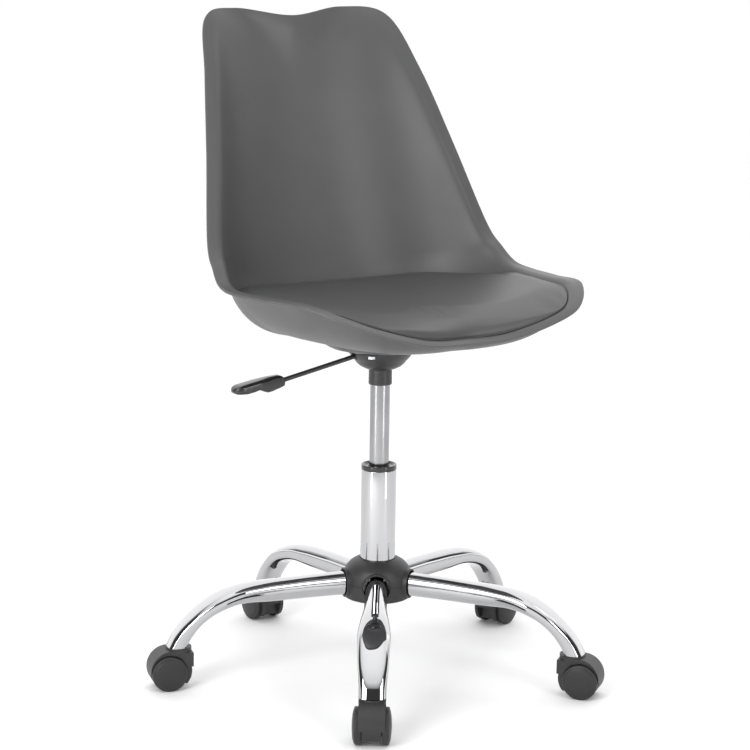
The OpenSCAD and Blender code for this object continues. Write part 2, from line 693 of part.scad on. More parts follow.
axle_half = wheel_out - 2.5;
module caster_axle(k) {
    color("silver") at_leg(k) translate([foot_r + trail, 0, axle_z]) rotate([90, 0, 0])
        cylinder(h = 2 * axle_half, r = axle_d / 2, center = true);
}

// Wheel with a domed outer face and a blind bore, on one side of its hood
module wheel(k, side) {
    r = wheel_d / 2;
    w = wheel_w;
    bore = axle_d / 2 + run;
    color("dimgray") at_leg(k) translate([foot_r + trail, 0, axle_z]) rotate([side * -90, 0, 0])
        translate([0, 0, wheel_in]) rotate_extrude() polygon([[bore, 0], [r - 1.5, 0], [r, 1.5],
            [r, w - 5], [r - 0.8, w - 3.6], [r - 2.6, w - 2.6], [r - 3.4, w - 2.6], [0.62 * r, w - 1],
            [0.3 * r, w - 0.2], [0, w], [0, axle_half - wheel_in + gap], [bore, axle_half - wheel_in + gap]]);
}

seat_shell();
pad_cover();
pad_foam();
pad_board();
seat_inserts();
seat_bolts();
bolt_washers();
seat_plate();
plate_cup();
lever_bracket();
lever_pivot_pin();
socket_tube();
pressure_tube();
rod_gland();
valve_body();
lever_rod();
lever_handle();
valve_pin();
piston_rod();
piston();
upper_race();
rod_clip();
column_tube();
column_cap();
guide_bush();
column_plate();
bump_stop();
lower_race();
ball_cage();
hub_tube();
hub_cover_upper();
hub_cover_lower();
leg_sockets();
caster_stems();
leg(1);  // leg_1
leg(2);  // leg_2
leg(3);  // leg_3
leg(4);  // leg_4
leg(5);  // leg_5
caster_hood(1);  // caster_hood_1
caster_hood(2);  // caster_hood_2
caster_hood(3);  // caster_hood_3
caster_hood(4);  // caster_hood_4
caster_hood(5);  // caster_hood_5
caster_axle(1);  // caster_axle_1
caster_axle(2);  // caster_axle_2
caster_axle(3);  // caster_axle_3
caster_axle(4);  // caster_axle_4
caster_axle(5);  // caster_axle_5
wheel(1, 1);  // wheel_1_left
wheel(2, 1);  // wheel_2_left
wheel(3, 1);  // wheel_3_left
wheel(4, 1);  // wheel_4_left
wheel(5, 1);  // wheel_5_left
wheel(1, -1);  // wheel_1_right
wheel(2, -1);  // wheel_2_right
wheel(3, -1);  // wheel_3_right
wheel(4, -1);  // wheel_4_right
wheel(5, -1);  // wheel_5_right
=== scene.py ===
import math

import bmesh
import bpy
import numpy as np
from mathutils import Matrix, Vector


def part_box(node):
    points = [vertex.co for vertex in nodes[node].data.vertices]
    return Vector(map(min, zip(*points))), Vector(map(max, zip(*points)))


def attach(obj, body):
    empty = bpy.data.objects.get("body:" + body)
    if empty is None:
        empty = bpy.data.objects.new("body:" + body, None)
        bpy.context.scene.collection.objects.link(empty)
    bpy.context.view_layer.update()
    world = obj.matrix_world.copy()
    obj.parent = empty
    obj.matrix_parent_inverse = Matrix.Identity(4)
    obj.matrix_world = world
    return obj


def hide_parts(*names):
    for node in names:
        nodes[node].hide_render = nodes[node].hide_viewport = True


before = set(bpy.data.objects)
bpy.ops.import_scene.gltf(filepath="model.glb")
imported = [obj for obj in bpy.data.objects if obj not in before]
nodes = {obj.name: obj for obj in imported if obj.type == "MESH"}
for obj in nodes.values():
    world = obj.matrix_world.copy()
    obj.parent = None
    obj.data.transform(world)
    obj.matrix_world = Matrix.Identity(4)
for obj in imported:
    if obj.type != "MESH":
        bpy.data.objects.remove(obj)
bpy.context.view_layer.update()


# Studio. A white floor under a white dome. The dome's near half has a dark band above a low
# white one, which gives the chrome its streaks. Two narrow strips stand either side of the
# camera for glints, and large soft lights stand in front of the chair and to its sides.
CAMERA_TURN = math.radians(32.2)
scene = bpy.context.scene
scene.view_settings.view_transform = "Standard"
dome = bpy.data.worlds.new("studio_dome")
scene.world = dome
dome.use_nodes = True
dome_nodes, dome_links = dome.node_tree.nodes, dome.node_tree.links
dome_nodes.clear()
sky_way = dome_nodes.new("ShaderNodeTexCoord")
sky_split = dome_nodes.new("ShaderNodeSeparateXYZ")
sky_ramp = dome_nodes.new("ShaderNodeValToRGB")
sky_light = dome_nodes.new("ShaderNodeBackground")
sky_out = dome_nodes.new("ShaderNodeOutputWorld")
dome_strength = 1.7
far_grey, far_from, far_to = 0.9, 0.3, 0.55
mix_a, mix_b, mix_out = 6, 7, 2  # the colour sockets of a Mix node
sky_light.inputs["Strength"].default_value = dome_strength
dome_links.new(sky_way.outputs["Generated"], sky_split.inputs["Vector"])
dome_links.new(sky_split.outputs["Z"], sky_ramp.inputs["Fac"])
sky_side = dome_nodes.new("ShaderNodeVectorMath")
sky_side.operation = "DOT_PRODUCT"
sky_side.inputs[1].default_value = (math.sin(CAMERA_TURN), math.cos(CAMERA_TURN), 0)
dome_links.new(sky_way.outputs["Generated"], sky_side.inputs[0])
sky_share = dome_nodes.new("ShaderNodeMapRange")
sky_share.inputs["From Min"].default_value = far_from
sky_share.inputs["From Max"].default_value = far_to
dome_links.new(sky_side.outputs["Value"], sky_share.inputs["Value"])
sky_mix = dome_nodes.new("ShaderNodeMix")
sky_mix.data_type = "RGBA"
sky_mix.inputs[mix_b].default_value = (far_grey, far_grey, far_grey, 1)
dome_links.new(sky_share.outputs["Result"], sky_mix.inputs["Factor"])
dome_links.new(sky_ramp.outputs["Color"], sky_mix.inputs[mix_a])
dome_links.new(sky_mix.outputs[mix_out], sky_light.inputs["Color"])
dome_links.new(sky_light.outputs["Background"], sky_out.inputs["Surface"])
bands = sky_ramp.color_ramp
horizon_grey = 0.06
bands.elements[0].position, bands.elements[0].color = 0.0, (horizon_grey, horizon_grey, horizon_grey, 1)
bands.elements[1].position, bands.elements[1].color = 1.0, (1, 1, 1, 1)
white_band, dark_band = ((0.05, 1.0), (0.20, 1.0)), ((0.25, 0.04), (0.68, 0.04))
for height, grey in ((0.03, horizon_grey), *white_band, *dark_band, (0.80, 0.75)):
    band = bands.elements.new(height)
    band.color = (grey, grey, grey, 1)

floor_half = 30.0
floor_mesh = bpy.data.meshes.new("floor")
floor_corners = ((-1, -1), (1, -1), (1, 1), (-1, 1))
floor_mesh.from_pydata([(x * floor_half, y * floor_half, 0) for x, y in floor_corners], [], [(0, 1, 2, 3)])
floor = bpy.data.objects.new("floor", floor_mesh)
scene.collection.objects.link(floor)
floor_paint = bpy.data.materials.new("floor_paint")
floor_paint.use_nodes = True
floor_bsdf = floor_paint.node_tree.nodes["Principled BSDF"]
floor_bsdf.inputs["Roughness"].default_value = 0.7
floor_noise = floor_paint.node_tree.nodes.new("ShaderNodeTexNoise")
floor_noise.inputs["Scale"].default_value = 3.0
floor_ramp = floor_paint.node_tree.nodes.new("ShaderNodeValToRGB")
floor_ramp.color_ramp.elements[0].color = (0.93, 0.93, 0.93, 1)
floor_ramp.color_ramp.elements[1].color = (0.95, 0.95, 0.95, 1)
floor_paint.node_tree.links.new(floor_noise.outputs["Fac"], floor_ramp.inputs["Fac"])
floor_paint.node_tree.links.new(floor_ramp.outputs["Color"], floor_bsdf.inputs["Base Color"])
floor_mesh.materials.append(floor_paint)


def softbox(name, turn, distance, height, wide, tall, power, aim=0.5, glints=False):
    """Area light at a turn from the front and a distance from the column, aimed at the column.
    One for glints shows only in shiny surfaces."""
    lamp = bpy.data.lights.new(name, "AREA")
    lamp.shape, lamp.size, lamp.size_y, lamp.energy = "RECTANGLE", wide, tall, power
    light = bpy.data.objects.new(name, lamp)
    scene.collection.objects.link(light)
    place = Vector((math.sin(turn) * distance, -math.cos(turn) * distance, height))
    light.location = place
    light.rotation_euler = (Vector((0, 0, aim)) - place).to_track_quat("-Z", "Y").to_euler()
    light.visible_camera = False
    light.visible_diffuse = not glints


strip_turn = math.radians(47)
softbox("strip_left", -CAMERA_TURN - strip_turn, 1.5, 0.7, 0.14, 1.4, 4, 0.7, True)
softbox("strip_right", -CAMERA_TURN + strip_turn, 1.5, 0.7, 0.14, 1.4, 4, 0.7, True)
softbox("key", math.radians(-66), 2.4, 1.4, 1.2, 1.2, 40, 0.7)
softbox("front", math.radians(8), 2.6, 1.7, 1.0, 1.0, 16, 0.75)
softbox("fill", math.radians(78), 2.2, 2.1, 1.2, 1.2, 5)

camera = bpy.data.objects.new("camera", bpy.data.cameras.new("camera"))
scene.collection.objects.link(camera)
scene.camera = camera
camera.data.sensor_width, camera.data.lens = 36, 114.7
look_turn = -CAMERA_TURN + math.radians(0.13)
look_down, roll = math.radians(11.345), math.radians(0.84)
ahead = Vector(
    (
        -math.sin(look_turn) * math.cos(look_down),
        math.cos(look_turn) * math.cos(look_down),
        -math.sin(look_down),
    )
)
level = ahead.cross(Vector((0, 0, 1))).normalized()
upright = level.cross(ahead)
side = level * math.cos(roll) + upright * math.sin(roll)
top = upright * math.cos(roll) - level * math.sin(roll)
stand = Matrix.Translation((-1.7527, -2.7832, 1.0925))
camera.matrix_world = stand @ Matrix((side, top, -ahead)).transposed().to_4x4()


# Seat shell. One injection moulding in grey polypropylene with a fine even grain: a deep
# bucket with a back, side wings and a rolled lip, on a flat boss that is bolted to the plate.
def grained(
    name,
    base,
    rough,
    grain_mm,
    depth_mm,
    mottle=0.06,
    metallic=0.0,
    stretch=(1, 1, 1),
    mottle_mm=60,
    **sockets,
):
    """Surface with a fine bump of grain_mm, which also moves the roughness, and a slow drift
    of colour over mottle_mm."""
    rough_share, bump_strength = 0.15, 0.6
    made = bpy.data.materials.new(name)
    made.use_nodes = True
    tree, links = made.node_tree.nodes, made.node_tree.links
    shader = tree["Principled BSDF"]
    shader.inputs["Metallic"].default_value = metallic
    for socket, value in sockets.items():
        shader.inputs[socket.replace("_", " ")].default_value = value
    place = tree.new("ShaderNodeTexCoord")
    turn = tree.new("ShaderNodeMapping")
    turn.inputs["Scale"].default_value = stretch
    links.new(place.outputs["Object"], turn.inputs["Vector"])
    drift = tree.new("ShaderNodeTexNoise")
    drift.inputs["Scale"].default_value = 1000 / mottle_mm
    drift.inputs["Detail"].default_value = 4
    links.new(place.outputs["Object"], drift.inputs["Vector"])
    shade = tree.new("ShaderNodeValToRGB")
    shade.color_ramp.elements[0].position, shade.color_ramp.elements[1].position = 0.3, 0.7
    shade.color_ramp.elements[0].color = (*[c * (1 - mottle) for c in base], 1)
    shade.color_ramp.elements[1].color = (*[min(c * (1 + mottle), 1) for c in base], 1)
    links.new(drift.outputs["Fac"], shade.inputs["Fac"])
    links.new(shade.outputs["Color"], shader.inputs["Base Color"])
    grain = tree.new("ShaderNodeTexNoise")
    grain.inputs["Scale"].default_value = 1000 / grain_mm
    grain.inputs["Detail"].default_value = 3
    links.new(turn.outputs["Vector"], grain.inputs["Vector"])
    spread = tree.new("ShaderNodeMapRange")
    spread.inputs["To Min"].default_value = rough * (1 - rough_share)
    spread.inputs["To Max"].default_value = min(rough * (1 + rough_share), 1)
    links.new(grain.outputs["Fac"], spread.inputs["Value"])
    links.new(spread.outputs["Result"], shader.inputs["Roughness"])
    bump = tree.new("ShaderNodeBump")
    bump.inputs["Strength"].default_value = bump_strength
    bump.inputs["Distance"].default_value = depth_mm / 1000
    links.new(grain.outputs["Fac"], bump.inputs["Height"])
    links.new(bump.outputs["Normal"], shader.inputs["Normal"])
    return made


def grid_mesh(name, points, rows_closed=False, cols_closed=False, sharp=40):
    """A quad between each four neighbours of a grid of points in mm. Doubles are merged, which
    closes folded rows and poles, and the faces are turned outwards."""
    p = np.asarray(points, float)
    number = np.arange(p.shape[0] * p.shape[1]).reshape(p.shape[:2])
    if rows_closed:
        number = np.vstack([number, number[:1]])
    if cols_closed:
        number = np.hstack([number, number[:, :1]])
    quads = np.stack([number[:-1, :-1], number[1:, :-1], number[1:, 1:], number[:-1, 1:]], -1)
    mesh = bpy.data.meshes.new(name)
    mesh.from_pydata((p.reshape(-1, 3) / 1000).tolist(), [], quads.reshape(-1, 4).tolist())
    tidy = bmesh.new()
    tidy.from_mesh(mesh)
    bmesh.ops.remove_doubles(tidy, verts=tidy.verts, dist=2e-6)
    bmesh.ops.recalc_face_normals(tidy, faces=tidy.faces)
    tidy.to_mesh(mesh)
    tidy.free()
    mesh.polygons.foreach_set("use_smooth", np.ones(len(mesh.polygons), bool))
    mesh.set_sharp_from_angle(angle=math.radians(sharp))
    return mesh


def piece(name, mesh, material, body, slot, *stands_for):
    """Object on a body, in a material, that stands for CAD nodes."""
    made = bpy.data.objects.new(name, mesh)
    scene.collection.objects.link(made)
    mesh.materials.clear()
    mesh.materials.append(material)
    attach(made, body)
    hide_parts(*stands_for)
    return made


shell_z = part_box("seat_shell")[0].z * 1000
shell_wall, lip_width, wide_share = 4.0, 16.0, 0.62
# Stations from the top of the back round to the front lip: x, y and height of the rim over
# the plate, distance along the centre line, how late the wall turns up, rise of the crest
rim = np.array(
    [
        (0, 254, 447, 611, 2.6, 1),
        (89, 266, 458, 608, 2.6, 1),
        (151, 238, 447, 597, 2.6, 1),
        (179, 186, 370, 560, 2.6, 1),
        (205, 132, 263, 480, 2.6, 1),
        (231, 81, 153, 385, 2.8, 1),
        (239, 50, 120, 310, 3.4, 0),
        (244, 22, 101, 240, 3.8, 0),
        (245, -20, 96, 175, 3.8, 0),
        (236, -90, 97, 105, 3.8, 0),
        (222, -167, 98, 45, 3.8, 0),
        (168, -228, 73, 12, 3.8, 2.5),
        (78, -233, 46, 2, 3.8, 5.5),
        (0, -227, 41, 0, 3.8, 5.5),
    ],
    float,
)
last = len(rim) - 1
seat_start, seat_length, bend_radius, seat_floor, seat_bow = -140.0, 213.0, 95.0, 16.0, 3240.0
bend_turn = math.radians(75.5)


def outline(t):
    """Smooth curve through the stations, mirrored in x beyond its two ends."""
    flip = np.array([-1, 1, 1, 1, 1, 1])
    q = np.vstack([rim[1] * flip, rim, rim[-2] * flip])
    i = np.clip(np.floor(t).astype(int), 0, last - 1)
    f = (t - i)[..., None]
    a, b, c, d = q[i], q[i + 1], q[i + 2], q[i + 3]
    square = 2 * a - 5 * b + 4 * c - d
    cube = 3 * b - a - 3 * c + d
    return 0.5 * (2 * b + (c - a) * f + square * f**2 + cube * f**3)


def spine(s):
    """Centre line: a nearly flat seat, an arc, then the straight back. Gives y, z and slope."""
    turn = np.clip((s - seat_length) / bend_radius, 0, bend_turn)
    beyond = np.maximum(s - seat_length - bend_radius * bend_turn, 0)
    short = np.maximum(seat_length - s, 0)
    y = seat_start + np.minimum(s, seat_length) + bend_radius * np.sin(turn)
    y = y + beyond * math.cos(bend_turn)
    z = seat_floor + short**2 / (2 * seat_bow) + bend_radius * (1 - np.cos(turn))
    z = z + beyond * math.sin(bend_turn)
    return y, z, np.where(s < seat_length, -short / seat_bow, turn)


def arms(t):
    """For each t: centre, its normal, the way out to the rim along the surface, the rise, and
    the share of that way at which the lip's crest stands."""
    q = outline(t)
    y, z, slope = spine(q[..., 3])
    centre = np.stack([0 * y, y, z], -1)
    normal = np.stack([0 * y, -np.sin(slope), np.cos(slope)], -1)
    way = q[..., :3] - centre
    rise = (way * normal).sum(-1, keepdims=True)
    out = way - normal * rise
    crest = 1 - lip_width / np.linalg.norm(out, axis=-1, keepdims=True)
    return q, centre, normal, out, rise, crest


def bowl(t, v):
    """Inner face: out along the arm by v, and up by the rise, part of it in a wide quarter
    sine and the rest in a tight one near the lip, which rolls down past its crest."""
    q, centre, normal, out, rise, crest = arms(t)
    out = out * np.stack([np.where(v < 0, -1, 1), np.ones_like(v), np.ones_like(v)], -1)
    a = np.abs(v)[..., None]
    k = np.minimum(a / crest, 1)
    over = np.maximum(a - crest, 0) / (1 - crest)
    late, roll_up = q[..., 4:5], q[..., 5:6]
    wide, tight = np.sin(math.pi / 2 * k**late), np.sin(math.pi / 2 * k ** (3 * late))
    g = wide_share * wide + (1 - wide_share) * tight
    return centre + out * a + normal * ((rise + roll_up) * g - roll_up * over**2)


def sunk(p, flat=66.0, blend=30.0, seat_below=90):
    """Near the column the wall drops smoothly to the boss's flat floor, on the seat only."""
    k = np.clip((flat + blend - np.hypot(p[..., 0], p[..., 1])) / blend, 0, 1)
    w = np.where(p[..., 2] > seat_below, 0, k * k * (3 - 2 * k))
    return np.stack([p[..., 0], p[..., 1], p[..., 2] + (shell_wall - p[..., 2]) * w], -1)


def sheet_normals(p, up):
    """Normals from neighbour differences. The first and last rows are folded on the centre
    line, so they borrow their mirrored neighbours, and points that coincide take the way up."""
    too_small = 0.02
    q = np.concatenate([p[1:2, ::-1], p, p[-2:-1, ::-1]])
    along = q[2:] - q[:-2]
    first, inside, final = p[:, 1:2] - p[:, :1], p[:, 2:] - p[:, :-2], p[:, -1:] - p[:, -2:-1]
    across = np.concatenate([first, inside, final], 1)
    n = np.cross(along, across)
    size = np.linalg.norm(n, axis=-1, keepdims=True)
    n = np.where(size < too_small, up, n / np.maximum(size, 1e-9))
    return n * np.where((n * up).sum(-1, keepdims=True) < 0, -1, 1)


shell_rows, half_cols, lip_cols = 208, 44, 12
t = np.linspace(0, last, shell_rows + 1)[:, None]
j = np.arange(half_cols + lip_cols + 1) / half_cols
crest_at = arms(t[:, 0])[5]
past = np.maximum(np.arange(half_cols + lip_cols + 1) - half_cols, 0) / lip_cols
reach = np.where(past > 0, crest_at + (1 - crest_at) * past, crest_at * np.minimum(j, 1) ** 0.9)
v = np.hstack([-reach[:, :0:-1], reach])
t = np.broadcast_to(t, v.shape)
inner = sunk(bowl(t, v))
shell_up = arms(t)[2]
way_up = sheet_normals(inner, shell_up)
edge_r = 0.9
under = inner - way_up * shell_wall
under[..., 2] = np.maximum(under[..., 2], 0)


def rolled_edge(upper, lower, inward):
    """Round nose from the upper to the lower face at the rim, pulled in by its radius at each
    corner."""
    down = np.array([0.0, 0.12, 0.5, 0.88, 1.0])[None, :, None]
    pull = np.array([edge_r, 0.1, 0.0, 0.1, edge_r])[None, :, None]
    return upper[:, None] * (1 - down) + lower[:, None] * down + inward[:, None] * pull


def inwards(rim_points, next_points):
    """Unit way from each point of the rim to the next point in."""
    way = next_points - rim_points
    return way / np.linalg.norm(way, axis=-1, keepdims=True)


right_in = inwards(inner[:, -1], inner[:, -2])
left_in = inwards(inner[:, 0], inner[:, 1])
right_nose = rolled_edge(inner[:, -1], under[:, -1], right_in)
left_nose = rolled_edge(under[:, 0], inner[:, 0], left_in)
shell_points = np.concatenate([inner[:, 1:-1], right_nose, under[:, -2:0:-1], left_nose], 1) + (0, 0, shell_z)
shell_grey = (0.086, 0.086, 0.088)
shell_plastic = grained("shell_plastic", shell_grey, 0.45, 0.5, 0.03, mottle=0.035, Specular_IOR_Level=0.35)
shell_mesh = grid_mesh("shell_moulding", shell_points, cols_closed=True, sharp=60)
piece("shell_moulding", shell_mesh, shell_plastic, "seat", "shell_plastic", "seat_shell")


# Seat pad. Foam on a bent board in a smooth polyurethane leather cover, drawn tight and
# tucked under at the hem. It lies in the shell, up to the foot of the lip and the back.
def leather(name, base):
    """Fine closed pebbles of two sizes over a slow drift of colour."""
    pebble_mm, pebble_depth, pebble_strength = 1.1, 0.00004, 0.35
    made = grained(name, base, 0.42, 1.3, 0.05, mottle=0.05, mottle_mm=90, Specular_IOR_Level=0.25)
    tree, links = made.node_tree.nodes, made.node_tree.links
    pebble = tree.new("ShaderNodeTexVoronoi")
    pebble.inputs["Scale"].default_value = 1000 / pebble_mm
    place = next(n for n in tree if n.bl_idname == "ShaderNodeTexCoord")
    links.new(place.outputs["Object"], pebble.inputs["Vector"])
    fine = next(n for n in tree if n.bl_idname == "ShaderNodeBump")
    coarse = tree.new("ShaderNodeBump")
    coarse.inputs["Strength"].default_value = pebble_strength
    coarse.inputs["Distance"].default_value = pebble_depth
    links.new(pebble.outputs["Distance"], coarse.inputs["Height"])
    links.new(fine.outputs["Normal"], coarse.inputs["Normal"])
    links.new(coarse.outputs["Normal"], tree["Principled BSDF"].inputs["Normal"])
    return made


pad_back, pad_h, pad_gap, edge_radius, edge_thick = 6.0, 55.0, 1.5, 9.0, 3.0
level_z = seat_floor + pad_h
back_rise, crest_share, below_crest, wing_station, rise_stations = 5.0, 3.4, 4.0, 8, 2.0


def pad_edge_height(t):
    """Height of the pad's edge: the back edge's level, then up to follow the wings."""
    q = outline(np.maximum(t, wing_station))
    full = q[..., 2] + crest_share * q[..., 5] - below_crest
    low = level_z + back_rise
    return low + (full - low) * np.minimum((t - pad_back) / rise_stations, 1)


def pad_reach(t):
    """Share of the arm at which the pad ends: at the crest, or where the wall passes the pad's
    edge, which is found by halving."""
    halvings = 10
    crest = 1 - (lip_width + pad_gap) / np.linalg.norm(arms(t)[3], axis=-1)
    lo, hi, goal = np.full_like(t, 0.3), np.ones_like(t), pad_edge_height(t) - edge_thick
    for _ in range(halvings):
        mid = (lo + hi) / 2
        below = bowl(t, mid)[..., 2] < goal
        lo, hi = np.where(below, mid, lo), np.where(below, hi, mid)
    return np.minimum(crest, lo)


pad_rows, pad_inner, pad_round, row_power, col_power = 64, 30, 6, 1.1, 0.9
pad_t = pad_back + (last - pad_back) * np.linspace(0, 1, pad_rows + 1) ** row_power
pad_share = pad_reach(pad_t)
pad_edge = bowl(pad_t, pad_share)
pad_width = np.hypot(pad_edge[:, 0], pad_edge[:, 1] - bowl(pad_t, 0 * pad_t)[:, 1])[:, None]
arc = np.arange(1, pad_round + 1) / pad_round * math.pi / 2
flat_part = (1 - edge_radius / pad_width) * (np.arange(pad_inner + 1) / pad_inner) ** col_power
round_part = 1 - edge_radius * (1 - np.sin(arc)) / pad_width
half_across = np.hstack([flat_part, round_part])
half_drop = np.hstack([np.zeros(pad_inner + 1), edge_radius * (1 - np.cos(arc))])
# The back edge is nearly square, and the rounding grows to full size over three stations
half_drop = half_drop[None] * np.clip((pad_t[:, None] - 6.4) / 3, 0.12, 1)
across = np.hstack([-half_across[:, :0:-1], half_across])
edge_drop = np.hstack([half_drop[:, :0:-1], half_drop])
pad_station = np.broadcast_to(pad_t[:, None], across.shape)
plan = bowl(pad_station, across * pad_share[:, None])
crown_power, least_thick = 2.5, 2.2
hem_gap, inner_gap, hem_width = 0.6, 4.6, 12
crown = level_z + (pad_edge_height(pad_station) - level_z) * np.abs(across) ** crown_power - edge_drop
lift = hem_gap + inner_gap * np.clip((1 - np.abs(across)) * pad_width / hem_width, 0, 1)
bottom_z = plan[..., 2] + lift
top_z = np.maximum(crown, bottom_z + least_thick)
pad_top = np.stack([plan[..., 0], plan[..., 1], top_z], -1)
pad_bottom = np.stack([plan[..., 0], plan[..., 1], bottom_z], -1)


def pad_wall(upper, lower):
    """Side of the pad between its top and its hem, drawn in a little at half height."""
    drawn_in = 0.7
    down = np.array([0.3, 0.6])[None, :, None]
    middle = upper[:, None] * (1 - down) + lower[:, None] * down
    away = middle * (1, 1, 0)
    return middle - away / np.linalg.norm(away, axis=-1, keepdims=True) * (drawn_in, drawn_in, 0)


pad_right = pad_wall(pad_top[:, -1], pad_bottom[:, -1])
pad_left = pad_wall(pad_bottom[:, 0], pad_top[:, 0])
pad_loop = np.concatenate([pad_top, pad_right, pad_bottom[:, ::-1], pad_left], 1)
# The back edge is closed by a first loop that lies folded on its own middle line
fold = (pad_top[:1] + pad_bottom[:1]) / 2
closing = np.concatenate([fold, fold[:, -1:].repeat(2, 1), fold[:, ::-1], fold[:, :1].repeat(2, 1)], 1)
pad_points = np.concatenate([closing, pad_loop]) + (0, 0, shell_z)
pad_leather = leather("pad_leather", (0.075, 0.075, 0.077))
pad_mesh = grid_mesh("seat_pad", pad_points, cols_closed=True, sharp=70)
pad = piece("seat_pad", pad_mesh, pad_leather, "seat", "pad_leather", "pad_cover", "pad_foam")


def swell(obj, cap_mm):
    """Fills the cover with air in a cloth simulation, with its hem and sides held, and keeps
    each point's move under the cap."""
    steps, pressure, top_from = 20, 4, 0.75
    mesh = obj.data
    start = np.empty(len(mesh.vertices) * 3, np.float32)
    mesh.vertices.foreach_get("co", start)
    start = start.reshape(-1, 3)
    normal = np.empty(len(mesh.vertices) * 3, np.float32)
    mesh.vertices.foreach_get("normal", normal)
    free = normal.reshape(-1, 3)[:, 2] > top_from
    held = obj.vertex_groups.new(name="held")
    held.add(np.flatnonzero(~free).tolist(), 1.0, "REPLACE")
    cloth = obj.modifiers.new("cloth", "CLOTH")
    cloth.settings.use_pressure = True
    cloth.settings.uniform_pressure_force = pressure
    cloth.settings.effector_weights.gravity = 0
    cloth.settings.vertex_group_mass = "held"
    cloth.point_cache.frame_start, cloth.point_cache.frame_end = 1, steps
    for number in range(1, steps + 1):
        scene.frame_set(number)
    swollen = obj.evaluated_get(bpy.context.evaluated_depsgraph_get()).to_mesh()
    end = np.empty(len(mesh.vertices) * 3, np.float32)
    swollen.vertices.foreach_get("co", end)
    move = end.reshape(-1, 3) - start
    size = np.linalg.norm(move, axis=1, keepdims=True)
    print("cloth moved up to mm", float(size.max() * 1000), flush=True)
    move *= np.minimum(cap_mm / 1000 / np.maximum(size, 1e-9), 1)
    obj.modifiers.remove(cloth)
    obj.vertex_groups.remove(held)
    mesh.vertices.foreach_set("co", (start + move).ravel())
    mesh.update()
    scene.frame_set(1)


swell_cap_mm = 4
swell(pad, swell_cap_mm)
smoother = pad.modifiers.new("finer", "SUBSURF")
smoother.levels = smoother.render_levels = 1
plywood = grained(
    "plywood", (0.42, 0.29, 0.17), 0.6, 2.0, 0.05, mottle=0.2, stretch=(1, 12, 12), mottle_mm=25
)


def finish(material, *names):
    """Gives CAD nodes a material."""
    for name in names:
        nodes[name].data.materials.clear()
        nodes[name].data.materials.append(material)


finish(plywood, "pad_board")


# Fixings and plain steel. Four zinc-plated bolts with washers go up through the plate into
# flanged inserts in the shell's boss, and a plated pin carries the lever. The thrust bearing,
# the hub tube and the casters' stems and sockets have the same plating.
zinc = grained("zinc_steel", (0.62, 0.63, 0.65), 0.28, 0.8, 0.02, mottle=0.12, metallic=1.0, mottle_mm=8)
finish(zinc, "seat_inserts", "seat_bolts", "bolt_washers", "lever_pivot_pin")
finish(zinc, "column_plate", "lower_race", "upper_race", "rod_clip", "ball_cage")
finish(zinc, "hub_tube", "caster_stems", "leg_sockets")


# Seat plate and pressed cup. Sheet steel in black powder coat: a square plate with round
# corners under the boss, and a cup welded below it round the socket for the gas lift.
def softened(node, name, material, body, slot, width_mm, sharp=35):
    """Copy of a CAD node with its loose triangles merged, its flat faces joined up, and its
    edges broken by a small bevel."""
    flat_angle = math.radians(0.4)
    mesh = nodes[node].data.copy()
    mesh.name = name
    tidy = bmesh.new()
    tidy.from_mesh(mesh)
    bmesh.ops.remove_doubles(tidy, verts=tidy.verts, dist=2e-6)
    bmesh.ops.dissolve_limit(tidy, angle_limit=flat_angle, verts=tidy.verts, edges=tidy.edges)
    tidy.to_mesh(mesh)
    tidy.free()
    mesh.polygons.foreach_set("use_smooth", np.ones(len(mesh.polygons), bool))
    mesh.set_sharp_from_angle(angle=math.radians(sharp))
    made = piece(name, mesh, material, body, slot, node)
    bevel = made.modifiers.new("edges", "BEVEL")
    bevel.width, bevel.segments, bevel.limit_method = width_mm / 1000, 2, "ANGLE"
    bevel.angle_limit = math.radians(sharp)
    bevel.use_clamp_overlap = True
    bevel.harden_normals = True
    return made


black_steel = grained("black_steel", (0.022, 0.022, 0.023), 0.38, 0.5, 0.04, mottle=0.15)
softened("seat_plate", "plate_pressing", black_steel, "seat", "black_steel", 0.5)
softened("plate_cup", "cup_pressing", black_steel, "seat", "black_steel", 0.4)
finish(black_steel, "lever_bracket")


# Socket. A black steel tube welded in the cup, with faint turning rings, that grips the
# taper of the gas lift.
def rounded(corners, radius, steps=4):
    """Closed outline with a short quadratic curve in place of each corner off the axis."""
    c = np.asarray(corners, float)
    back, on = np.roll(c, 1, 0) - c, np.roll(c, -1, 0) - c
    back_len, on_len = [np.linalg.norm(w, axis=1, keepdims=True) for w in (back, on)]
    r = np.minimum(radius, 0.45 * np.minimum(back_len, on_len)) * (c[:, :1] > 1e-6)
    a, b = c + back / back_len * r, c + on / on_len * r
    f = np.linspace(0, 1, steps + 1)[None, :, None]
    return ((1 - f) ** 2 * a[:, None] + 2 * f * (1 - f) * c[:, None] + f**2 * b[:, None]).reshape(-1, 2)


def turned(name, profile, steps=96):
    """Closed profile of radius and height carried round the vertical axis."""
    around = np.arange(steps) / steps * 2 * math.pi
    r, z = profile[:, :1], profile[:, 1:]
    points = np.stack([r * np.cos(around), r * np.sin(around), z + 0 * around], -1)
    return grid_mesh(name, points, True, True)


def pipe(foot, head, outer, inner, edge_break):
    """Profile of a plain tube with its four edges broken."""
    return rounded([(inner, foot), (outer, foot), (outer, head), (inner, head)], edge_break)


def span(node):
    """Radius, foot and head of an upright round CAD node, in mm."""
    low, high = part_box(node)
    return high.x * 1000, low.z * 1000, high.z * 1000


